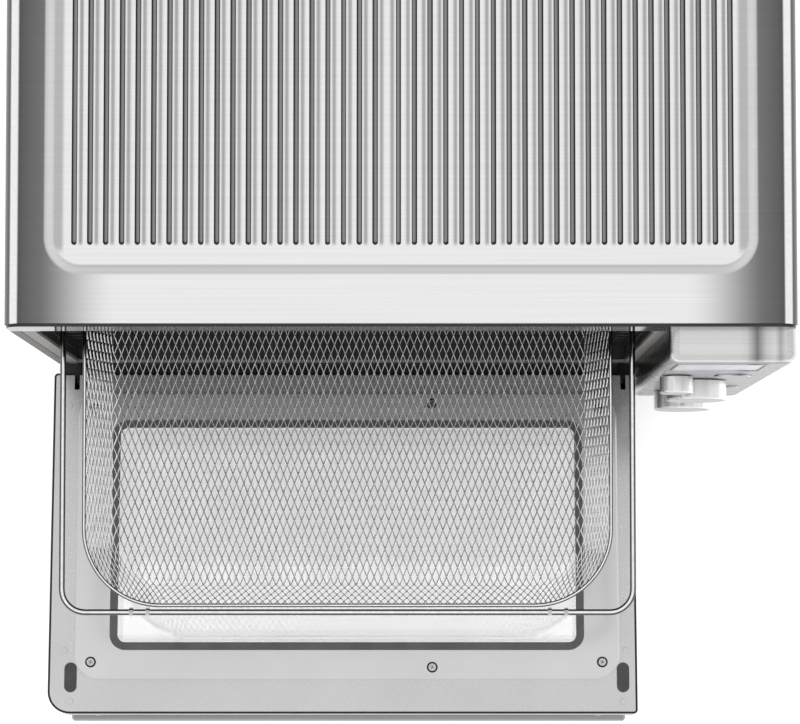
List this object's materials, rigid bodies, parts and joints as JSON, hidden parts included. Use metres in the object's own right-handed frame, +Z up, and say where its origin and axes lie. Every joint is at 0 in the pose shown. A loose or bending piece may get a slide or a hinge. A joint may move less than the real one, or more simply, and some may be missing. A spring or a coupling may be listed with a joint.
{
  "type": "countertop air fryer oven",
  "caption": "Countertop air fryer oven with a fold-down glass door, a sliding mesh basket, a crumb tray, turning knobs, push buttons and a fan.",
  "frame": {"origin": "on the counter, under the middle of the oven with its door open", "axes": "+X to the right, +Y to the oven's back, +Z up"},
  "size_m": [0.544, 0.6642, 0.3232],
  "materials": {
    "brushed_steel": "brushed",
    "satin_plate": "satin",
    "enamel": "semi-gloss enamel",
    "chrome": "polished",
    "plated_steel": "zinc plated",
    "heater": "matt oxide",
    "ceramic": "glazed",
    "tray": "satin",
    "glass": "clear",
    "display_glass": "clear, backed",
    "rubber": "matt",
    "black_plastic": "matt",
    "board": "satin"
  },
  "bodies": {
    "oven": {"outer_cover": "brushed_steel", "front_frame": "enamel", "base_pan": "satin_plate", "feet": "rubber", "rear_panel": "satin_plate", "cord_inlet": "rubber", "rear_screws": "plated_steel", "cavity_liner": "enamel", "left_rack_rail": "enamel", "right_rack_rail": "enamel", "upper_heaters": "heater", "lower_heaters": "heater", "heater_bushes": "ceramic", "temperature_probe": "plated_steel", "fan_cover": "enamel", "fan_housing": "enamel", "fan_motor": "plated_steel", "hinge_brackets": "plated_steel", "control_fascia": "brushed_steel", "fascia_base": "black_plastic", "display_window": "display_glass", "display_bezel": "chrome", "display_module": "black_plastic", "control_board": "board", "knob_encoders": "black_plastic", "button_switches": "black_plastic"},
    "door": {"door_outer_shell": "brushed_steel", "door_inner_frame": "satin_plate", "door_inner_plate": "satin_plate", "window_gasket": "rubber", "inner_glass": "glass", "outer_glass": "glass", "door_screws": "plated_steel", "door_bumpers": "rubber", "door_rivets": "plated_steel", "hinge_ears": "plated_steel", "hinge_pins": "plated_steel", "handle_bar": "brushed_steel", "handle_posts": "plated_steel"},
    "basket": {"basket_carrier": "chrome", "basket_rim": "chrome", "basket_walls": "chrome", "basket_floor": "chrome", "basket_clips": "chrome"},
    "tray": {"crumb_tray": "tray", "crumb_tray_front": "tray"},
    "fan": {"convection_fan": "plated_steel", "fan_shaft": "plated_steel"},
    "upper_dial": {"upper_knob": "brushed_steel", "upper_spindle": "plated_steel"},
    "middle_dial": {"middle_knob": "brushed_steel", "middle_spindle": "plated_steel"},
    "lower_dial": {"lower_knob": "brushed_steel", "lower_spindle": "plated_steel"},
    "round_push": {"round_button": "brushed_steel"},
    "small_push": {"small_button": "brushed_steel"}
  },
  "joints": [
    {"name": "door_hinge", "type": "hinge", "parent": "oven", "child": "door", "pos_m": [0, -0.065, 0.054], "axis": [-1, 0, 0], "range_deg": [0, 84]},
    {"name": "basket_slide", "type": "slide", "parent": "oven", "child": "basket", "axis": [0, 1, 0], "range_m": [0, 0.2035]},
    {"name": "tray_slide", "type": "slide", "parent": "oven", "child": "tray", "axis": [0, -1, 0], "range_m": [0, 0.22]},
    {"name": "fan_spin", "type": "hinge", "parent": "oven", "child": "fan", "pos_m": [-0.039, 0.27, 0.182], "axis": [0, 1, 0], "continuous": true},
    {"name": "upper_turn", "type": "hinge", "parent": "oven", "child": "upper_dial", "pos_m": [0.2, -0.074, 0.209], "axis": [0, -1, 0], "continuous": true},
    {"name": "middle_turn", "type": "hinge", "parent": "oven", "child": "middle_dial", "pos_m": [0.2195, -0.074, 0.168], "axis": [0, -1, 0], "continuous": true},
    {"name": "lower_turn", "type": "hinge", "parent": "oven", "child": "lower_dial", "pos_m": [0.2195, -0.074, 0.075], "axis": [0, -1, 0], "continuous": true},
    {"name": "round_press", "type": "slide", "parent": "oven", "child": "round_push", "axis": [0, 1, 0], "range_m": [0, 0.001], "stiffness_N_per_m": 400},
    {"name": "small_press", "type": "slide", "parent": "oven", "child": "small_push", "axis": [0, 1, 0], "range_m": [0, 0.001], "stiffness_N_per_m": 400}
  ],
  "couplings": [
    {"joint": "basket_slide", "follows": "door_hinge", "m_per_rad": 0.1388}
  ]
}
